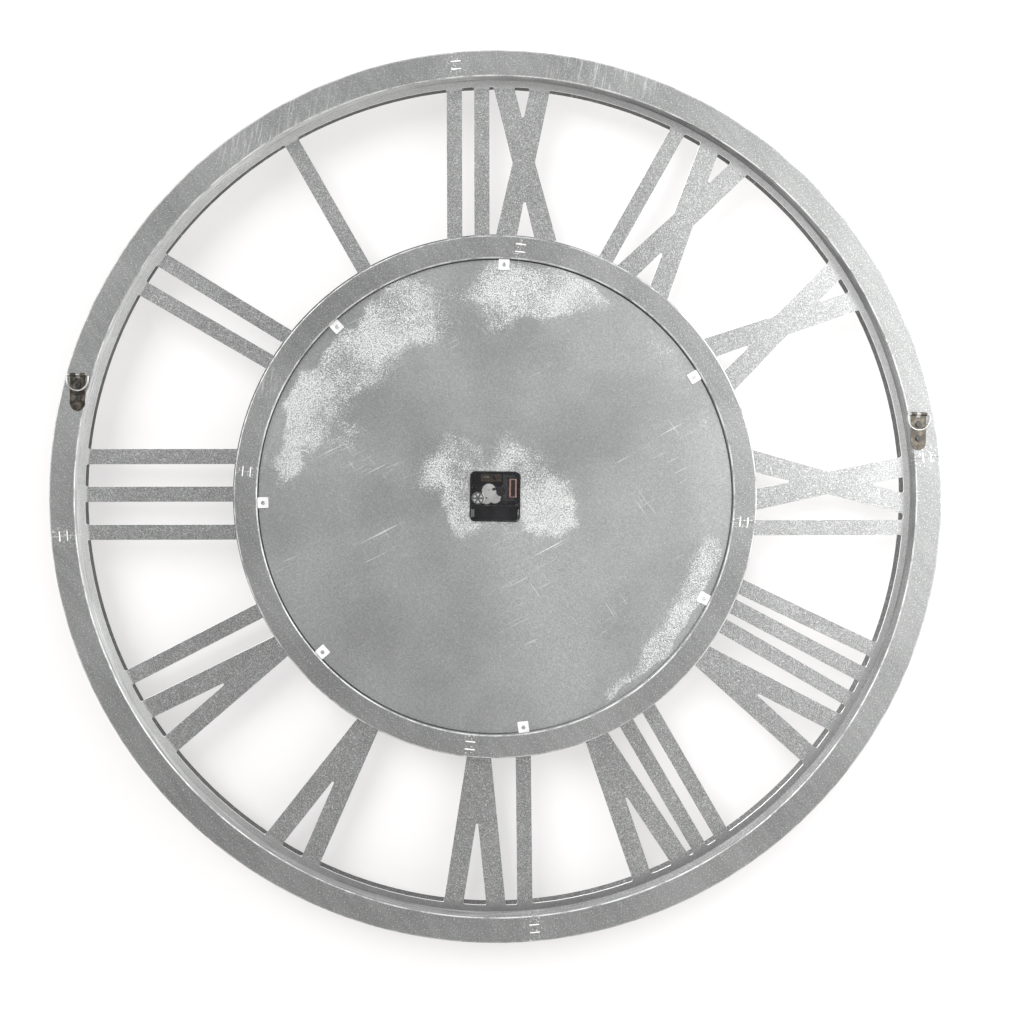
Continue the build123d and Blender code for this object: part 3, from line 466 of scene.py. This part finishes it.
def bloom_speckle(g):
    """How white the dial's back is: bloom in fine speckles, bare lobes and a thin haze."""
    ragged = g.math("MULTIPLY", g.math("SUBTRACT", g.noise(15.0, 5.0, 0.65), 0.5), 1.7)
    cover = g.ramp(g.math("ADD", bloom_mask(g), ragged), 0.12, 1.25)
    fine = g.math("MULTIPLY", g.noise(1000.0, 2.0, 0.6), 0.65)
    speckle = g.math("MULTIPLY_ADD", g.noise(520.0, 2.0, 0.6), 0.35, fine)
    gate = g.math("MULTIPLY_ADD", cover, -0.245, 0.72)
    white = g.ramp(g.math("SUBTRACT", speckle, gate), -0.09, 0.12, 0.0, 0.85)
    haze = g.ramp(g.noise(5.0, 4.0, 0.6), 0.40, 0.75, 0.0, 0.22)
    white = g.math("MAXIMUM", white, g.math("MULTIPLY", haze, g.ramp(speckle, 0.46, 0.60)))
    crumpled = g.warped(45.0, 0.010)
    for lobe in BARE_LOBES:
        bare = g.math("MULTIPLY", g.dial_blob(lobe, 0.75, crumpled), 0.9)
        white = g.math("MULTIPLY", white, g.math("SUBTRACT", 1.0, bare))
    return white


def dial_back():
    """Galvanised back of the dial with white bloom, fine scratches and painted shade on its side
    wall.
    """
    g = Graph("galvanised_board", metallic=0.75)
    colour, grain, cloud = galvanised(g, DIAL_ZINC, 0.15)
    grid = g.math("MULTIPLY", g.noise(1.0, 1.0, stretch=(1100, 1, 260)),
                  g.noise(1.0, 1.0, stretch=(260, 1, 1100)))
    colour = g.brighten(colour, g.ramp(grid, 0.1, 0.42, 0.93, 1.08))
    white = bloom_speckle(g)
    colour = g.mix(white, colour, BLOOM_WHITE)
    for turn, tightness, rare in SCRATCHES:
        scratch = g.noise(tightness, 2.0, 0.5, stretch=(5, 1, 260), turn=(0, turn, 0))
        where = g.ramp(g.noise(11.0 + tightness, 2.0), 0.56, 0.66)
        line = g.math("MULTIPLY", g.ramp(scratch, rare, rare + 0.03), where)
        colour = g.mix(g.math("MULTIPLY", line, 0.55), colour, SCRATCH)
    # painted shade on the dial board's side wall
    colour = g.mix(g.math("MULTIPLY", g.side_wall(), 0.9), colour, DIAL_EDGE_SHADE)
    g.set("Base Color", colour)
    g.set("Roughness", g.math("ADD", g.ramp(cloud, 0.3, 0.7, 0.40, 0.48),
                              g.math("MULTIPLY", white, 0.3)))
    g.bump(g.math("ADD", grain, g.math("MULTIPLY", white, 1.5)), 0.2 * MM, 0.5)
    return g.material


def dial_front():
    """Front of the dial: pale weathered zinc with soft clouds."""
    g = Graph("dial_steel", metallic=0.5)
    colour, grain, cloud = galvanised(g, FRONT_ZINC, 0.14)
    aged = g.ramp(g.noise(6.0, 5.0, 0.62), 0.45, 0.70, 0.0, 0.6)
    g.set("Base Color", g.mix(aged, colour, FRONT_AGED))
    g.set("Roughness", g.ramp(cloud, 0.3, 0.7, 0.38, 0.52))
    g.bump(grain, 0.2 * MM, 0.5)
    return g.material


# --- Small parts ----------------------------------------------------------------------------

FINE_GRAIN = 1400.0
PLASTIC_GRAIN = 0.06 * MM
BRONZE_DARK = (0.030, 0.026, 0.021)
BRONZE_RUBBED = (0.100, 0.088, 0.070)
COPPER_DEEP = (0.36, 0.20, 0.17)
COPPER_PALE = (0.52, 0.34, 0.30)
COIL_TAPE = (0.020, 0.014, 0.013)
KNOB_RIM = (0.035, 0.035, 0.037)
KNOB_STAR = (0.26, 0.26, 0.255)


def moulded(name, colour, roughness=0.45, grain=PLASTIC_GRAIN, metallic=0.0, **constants):
    """Plain moulded or coated surface: slight tone drift and a fine surface grain."""
    g = Graph(name, metallic=metallic, **constants)
    fine = g.noise(FINE_GRAIN, 2.0)
    drift = g.noise(60.0, 3.0)
    tone = g.math("ADD", g.ramp(drift, 0.3, 0.7, 0.88, 1.12), g.ramp(fine, 0.3, 0.7, -0.06, 0.06))
    g.set("Base Color", g.brighten(colour, tone))
    g.set("Roughness", g.ramp(drift, 0.3, 0.7, roughness - 0.06, roughness + 0.06))
    g.bump(fine, grain, 0.6)
    return g.material


def drawn_metal(name, colour, roughness):
    """Plated or bare metal with fine handling marks."""
    g = Graph(name, metallic=1.0)
    marks = g.noise(300.0, 3.0, 0.6)
    dull = g.noise(90.0, 2.0)
    g.set("Base Color", g.brighten(colour, g.ramp(marks, 0.3, 0.7, 0.88, 1.08)))
    g.set("Roughness", g.ramp(dull, 0.3, 0.7, roughness - 0.06, roughness + 0.1))
    g.bump(marks, 0.03 * MM, 0.5)
    return g.material


def bronzed():
    """Antique bronze finish, rubbed paler where it is handled."""
    g = Graph("bronzed_steel", metallic=0.75)
    rub = g.noise(160.0, 4.0, 0.65)
    g.set("Base Color", g.mix(g.ramp(rub, 0.42, 0.68), BRONZE_DARK, BRONZE_RUBBED))
    g.set("Roughness", g.ramp(rub, 0.3, 0.7, 0.30, 0.50))
    g.bump(rub, 0.06 * MM, 0.5)
    return g.material


def copper_turns():
    """Enamelled copper wire, with a strip of dark tape along the middle of its broad side."""
    g = Graph("copper_wire", metallic=0.6)
    low, high = node_box("coil_winding")
    shade = g.noise(700.0, 2.0, stretch=(1, 1, 4))
    copper = g.mix(g.ramp(shade, 0.3, 0.7), COPPER_DEEP, COPPER_PALE)
    across = g.math("SUBTRACT", g.axis(g.place, "X"), (low.x + high.x) / 2)
    along = g.math("SUBTRACT", g.axis(g.place, "Z"), (low.z + high.z) / 2)
    half = (high.z - low.z) / 2
    within_width = g.ramp(g.math("ABSOLUTE", across), 2.3 * MM, 2.7 * MM, 0.94, 0.0)
    within_length = g.ramp(g.math("ABSOLUTE", along), half - 1.3 * MM, half - 0.8 * MM, 0.94, 0.0)
    tape = g.math("MINIMUM", within_width, within_length)
    g.set("Base Color", g.mix(tape, copper, COIL_TAPE))
    g.set("Roughness", g.ramp(shade, 0.3, 0.7, 0.28, 0.42))
    return g.material


def knob_plastic():
    """Setting knob: dark rim with a paler moulded star sunk in its face."""
    g = Graph("dark_plastic_knob")
    top = node_box("setting_knob")[1].y
    sunk = g.ramp(g.math("SUBTRACT", top, g.axis(g.place, "Y")), 0.6 * MM, 1.1 * MM)
    fine = g.noise(FINE_GRAIN, 2.0)
    g.set("Base Color", g.mix(sunk, KNOB_RIM, KNOB_STAR))
    g.set("Roughness", g.ramp(fine, 0.3, 0.7, 0.30, 0.42))
    g.bump(fine, PLASTIC_GRAIN, 0.6)
    return g.material


# --- The coil's winding, turn by turn -------------------------------------------------------

COIL_TURNS = 44
STEPS_PER_TURN = 4
RIB_DEPTH = 0.09 * MM
SLEEVE_WALL = 0.85 * MM
COIL_CORNER = 2.0 * MM
BORE_CORNER = 1.2 * MM
CORNER_STEPS = 6


def mesh_object(name, bm, material):
    data = bpy.data.meshes.new(name)
    bm.normal_update()
    bm.to_mesh(data)
    bm.free()
    for polygon in data.polygons:
        polygon.use_smooth = True
    piece = bpy.data.objects.new(name, data)
    bpy.context.scene.collection.objects.link(piece)
    data.materials.append(material)
    return piece


def rounded_loop(half_x, half_y, corner):
    """Points of a rounded rectangle about the origin, anticlockwise."""
    points = []
    for sign_x, sign_y, start in ((1, 1, 0), (-1, 1, 90), (-1, -1, 180), (1, -1, 270)):
        for step in range(CORNER_STEPS + 1):
            turn = math.radians(start + 90 * step / CORNER_STEPS)
            points.append((sign_x * (half_x - corner) + corner * math.cos(turn),
                           sign_y * (half_y - corner) + corner * math.sin(turn)))
    return points


def wound_coil(material):
    """A closed sleeve in the winding's place, whose outside is ribbed turn by turn."""
    low, high = node_box("coil_winding")
    middle = (low + high) / 2
    half_x, half_y = (high.x - low.x) / 2, (high.y - low.y) / 2
    length = high.z - low.z
    bm = bmesh.new()

    def loop(inset, corner, height):
        points = rounded_loop(half_x - inset, half_y - inset, corner)
        return [bm.verts.new((middle.x + x, middle.y + y, height)) for x, y in points]

    loops = []
    rows = COIL_TURNS * STEPS_PER_TURN
    for row in range(rows + 1):
        swell = abs(math.sin(math.pi * row / STEPS_PER_TURN))
        loops.append(loop(RIB_DEPTH * (1 - swell), COIL_CORNER, low.z + length * row / rows))
    loops.append(loop(SLEEVE_WALL, BORE_CORNER, high.z))
    loops.append(loop(SLEEVE_WALL, BORE_CORNER, low.z))
    loops.append(loops[0])
    for lower, upper in zip(loops, loops[1:]):
        for k in range(len(lower)):
            after = (k + 1) % len(lower)
            bm.faces.new((lower[k], lower[after], upper[after], upper[k]))
    bmesh.ops.recalc_face_normals(bm, faces=bm.faces)
    piece = mesh_object("coil_turns", bm, material)
    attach(piece, "clock_frame")
    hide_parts("coil_winding")


# --- Put the materials on -------------------------------------------------------------------

def dress():
    rim_inner = min(axis_distances("rear_rim_segment"))
    hub_inner = min(axis_distances("rear_hub_segment"))
    hub_outer = max(axis_distances("rear_hub_segment"))
    rim = silver_paint("silver_board_rim", rim_inner, RIM_RADIUS, SHEET_Y, RIM_SEAM,
                       RIM_BRUSHED, RIM_OUTER_WEAR_AND_HIGHLIGHT)
    hub = silver_paint("silver_board_hub", hub_inner, hub_outer, DIAL_HIGH.y, HUB_SEAM,
                       HUB_BRUSHED, HUB_OUTER_WEAR_AND_HIGHLIGHT)
    assign(rim, *nodes_like("rear_rim_segment", "front_rim"))
    assign(hub, *nodes_like("rear_hub_segment", "front_hub"))
    assign(numeral_metal(), "numeral_sheet")
    assign(dial_back(), "dial_board")
    assign(dial_front(), "dial_face")

    # fasteners and hangers
    assign(moulded("white_nylon", (0.45, 0.45, 0.445), 0.4), "dial_clips")
    assign(drawn_metal("screw_steel", (0.42, 0.42, 0.43), 0.38), "clip_screws")
    assign(moulded("staple_wire", (0.75, 0.75, 0.745), 0.4, metallic=0.3),
           "rim_staples", "hub_staples")
    assign(moulded("painted_brads", (0.24, 0.245, 0.24), 0.45, metallic=0.6),
           "rim_brads", "hub_brads")
    assign(bronzed(), "hanger_strap_left", "hanger_strap_right")
    assign(moulded("black_screw", (0.03, 0.03, 0.03), 0.4, metallic=0.5), "hanger_screws")
    assign(drawn_metal("bright_steel", (0.34, 0.34, 0.33), 0.34), "hanger_ring_left",
           "hanger_ring_right", "quartz_crystal", "contact_negative", "contact_positive")

    # movement
    assign(moulded("black_plastic", (0.008, 0.008, 0.009), 0.24, specular_ior_level=0.4),
           "movement_case")
    assign(moulded("smoked_plastic", (0.012, 0.012, 0.013), 0.12, grain=0.01 * MM, alpha=0.30,
                   specular_ior_level=0.35), "movement_cover")
    assign(moulded("gear_plastic", (0.52, 0.52, 0.51), 0.4), "minute_wheel", "hour_wheel",
           "day_wheel", "third_wheel", "seconds_wheel")
    assign(moulded("dark_plastic", (0.014, 0.014, 0.015), 0.4, specular_ior_level=0.3),
           "train_bridge", "coil_bobbin", "clock_chip", "idler_wheel")
    assign(knob_plastic(), "setting_knob")
    assign(moulded("magnet", (0.05, 0.05, 0.055), 0.35, metallic=0.5), "rotor")
    assign(drawn_metal("motor_steel", (0.10, 0.10, 0.105), 0.4), "stator", "coil_core")
    assign(moulded("board_resin", (0.045, 0.030, 0.018), 0.4), "circuit_board")
    wound_coil(copper_turns())

    # centre fixing and hands
    assign(drawn_metal("brass", (0.72, 0.56, 0.26), 0.28), "centre_bush", "washer", "hex_nut")
    assign(moulded("rubber", (0.02, 0.02, 0.02), 0.7), "dial_gasket")
    assign(moulded("black_paint", (0.015, 0.015, 0.015), 0.35), "hour_hand", "minute_hand",
           "hand_nut")


dress()


# --- Stage ----------------------------------------------------------------------------------

PAPER = (0.485, 0.479, 0.478, 1)
WALL_GAP = 0.022
FLOOR_DROP = 0.16
REACH = 6.0


def stage_material():
    """White paper that casts no shadow and can't be seen from its back."""
    material = bpy.data.materials.new("white_paper")
    material.use_nodes = True
    tree = material.node_tree
    shader = tree.nodes["Principled BSDF"]
    shader.inputs["Base Color"].default_value = PAPER
    shader.inputs["Roughness"].default_value = 0.9
    shader.inputs["Specular IOR Level"].default_value = 0.1
    path = tree.nodes.new("ShaderNodeLightPath")
    side = tree.nodes.new("ShaderNodeNewGeometry")
    either = tree.nodes.new("ShaderNodeMath")
    either.operation = "MAXIMUM"
    tree.links.new(path.outputs["Is Shadow Ray"], either.inputs[0])
    tree.links.new(side.outputs["Backfacing"], either.inputs[1])
    clear = tree.nodes.new("ShaderNodeBsdfTransparent")
    mix = tree.nodes.new("ShaderNodeMixShader")
    tree.links.new(either.outputs[0], mix.inputs[0])
    tree.links.new(shader.outputs[0], mix.inputs[1])
    tree.links.new(clear.outputs[0], mix.inputs[2])
    tree.links.new(mix.outputs[0], tree.nodes["Material Output"].inputs["Surface"])
    return material


def sheet(name, corners, material):
    data = bpy.data.meshes.new(name)
    data.from_pydata(corners, [], [list(range(len(corners)))])
    piece = bpy.data.objects.new(name, data)
    bpy.context.scene.collection.objects.link(piece)
    data.materials.append(material)


paper = stage_material()
wall_y = LOW.y - WALL_GAP
floor_z = LOW.z - FLOOR_DROP
sheet("white_wall", [(-REACH, wall_y, floor_z), (-REACH, wall_y, REACH),
                     (REACH, wall_y, REACH), (REACH, wall_y, floor_z)], paper)
sheet("white_floor", [(-REACH, -REACH, floor_z), (REACH, -REACH, floor_z),
                      (REACH, REACH, floor_z), (-REACH, REACH, floor_z)], paper)


# --- Light ----------------------------------------------------------------------------------

# The surroundings: even white, with a broad bright screen on the side of -X, whose edge runs
# from the first to the second cosine away from its middle
SCREEN_SIDE = (-0.66, 0.68, 0.32)
SCREEN_EDGE = (0.60, 0.98)
EVEN_LIGHT = 0.23
SCREEN_LIGHT = 1.5
MIDDLE = (0.0, 0.0, 0.0)


def area_light(name, place, target, width, height, power):
    """A panel that fills in light and casts no shadow."""
    data = bpy.data.lights.new(name, "AREA")
    data.shape = "RECTANGLE"
    data.size, data.size_y = width, height
    data.energy = power
    data.use_shadow = False
    lamp = bpy.data.objects.new(name, data)
    lamp.location = place
    lamp.rotation_euler = (Vector(target) - Vector(place)).to_track_quat("-Z", "Y").to_euler()
    bpy.context.scene.collection.objects.link(lamp)


def sun(name, towards, strength, spread):
    """The light that casts the shadows; spread is its angle in degrees."""
    data = bpy.data.lights.new(name, "SUN")
    data.energy = strength
    data.angle = math.radians(spread)
    lamp = bpy.data.objects.new(name, data)
    lamp.rotation_euler = Vector(towards).to_track_quat("-Z", "Y").to_euler()
    bpy.context.scene.collection.objects.link(lamp)


def white_room():
    """The world: plain white to the camera, and the even light and the screen to all else."""
    room = bpy.data.worlds.new("white_room")
    room.use_nodes = True
    tree = room.node_tree
    place = tree.nodes.new("ShaderNodeTexCoord")
    towards = tree.nodes.new("ShaderNodeVectorMath")
    towards.operation = "DOT_PRODUCT"
    towards.inputs[1].default_value = Vector(SCREEN_SIDE).normalized()
    glow = tree.nodes.new("ShaderNodeMapRange")
    glow.interpolation_type = "SMOOTHSTEP"
    for key, given in (("From Min", SCREEN_EDGE[0]), ("From Max", SCREEN_EDGE[1]),
                       ("To Min", EVEN_LIGHT), ("To Max", SCREEN_LIGHT)):
        glow.inputs[key].default_value = given
    seen = tree.nodes.new("ShaderNodeLightPath")
    plain = tree.nodes.new("ShaderNodeMath")
    plain.operation = "MAXIMUM"
    background = tree.nodes["Background"]
    background.inputs["Color"].default_value = (1.0, 1.0, 1.0, 1)
    tree.links.new(place.outputs["Generated"], towards.inputs[0])
    tree.links.new(towards.outputs["Value"], glow.inputs["Value"])
    tree.links.new(glow.outputs[0], plain.inputs[0])
    tree.links.new(seen.outputs["Is Camera Ray"], plain.inputs[1])
    tree.links.new(plain.outputs[0], background.inputs["Strength"])
    return room


area_light("side_panel", (-1.20, 1.05, 0.42), (-0.3, 0.0, 0.1), width=0.9, height=1.5, power=40.0)
area_light("left_low", (1.9, 0.85, 0.4), MIDDLE, width=0.5, height=1.2, power=28.0)
area_light("top_low", (0.1, 0.42, 1.9), MIDDLE, width=1.2, height=0.5, power=3.0)
sun("key", towards=(-0.62, -1.0, -0.70), strength=2.3, spread=38.0)
area_light("front_panel", (1.2, -2.4, 1.4), MIDDLE, width=1.6, height=1.6, power=110.0)
bpy.context.scene.world = white_room()
bpy.context.scene.view_settings.view_transform = "Standard"


# --- Camera ---------------------------------------------------------------------------------

# The camera looks square at the clock from a little to one side and above, and its frame is
# shifted back onto the clock; CENTRE_OFF is how far the clock's middle stands off the frame's,
# in shares of the frame, FIELD is the frame's width at the clock in metres, ROLL is in degrees
CAMERA_DISTANCE = 1.46
SIDESTEP = 0.083
CENTRE_OFF = (0.0153, 0.0159)
ROLL = 0.8
FIELD = 1.1465
SENSOR = 36.0

camera_data = bpy.data.cameras.new("camera")
camera_data.sensor_width = SENSOR
camera_data.lens = SENSOR * CAMERA_DISTANCE / FIELD
camera_data.shift_x = SIDESTEP / FIELD + CENTRE_OFF[0]
camera_data.shift_y = -SIDESTEP / FIELD - CENTRE_OFF[1]
camera = bpy.data.objects.new("camera", camera_data)
camera.location = Vector((SIDESTEP, REAR_Y + CAMERA_DISTANCE, SIDESTEP))
look = Vector((0, -1, 0)).to_track_quat("-Z", "Y").to_matrix()
camera.rotation_euler = (look @ Matrix.Rotation(math.radians(ROLL), 3, "Z")).to_euler()
bpy.context.scene.collection.objects.link(camera)
bpy.context.scene.camera = camera
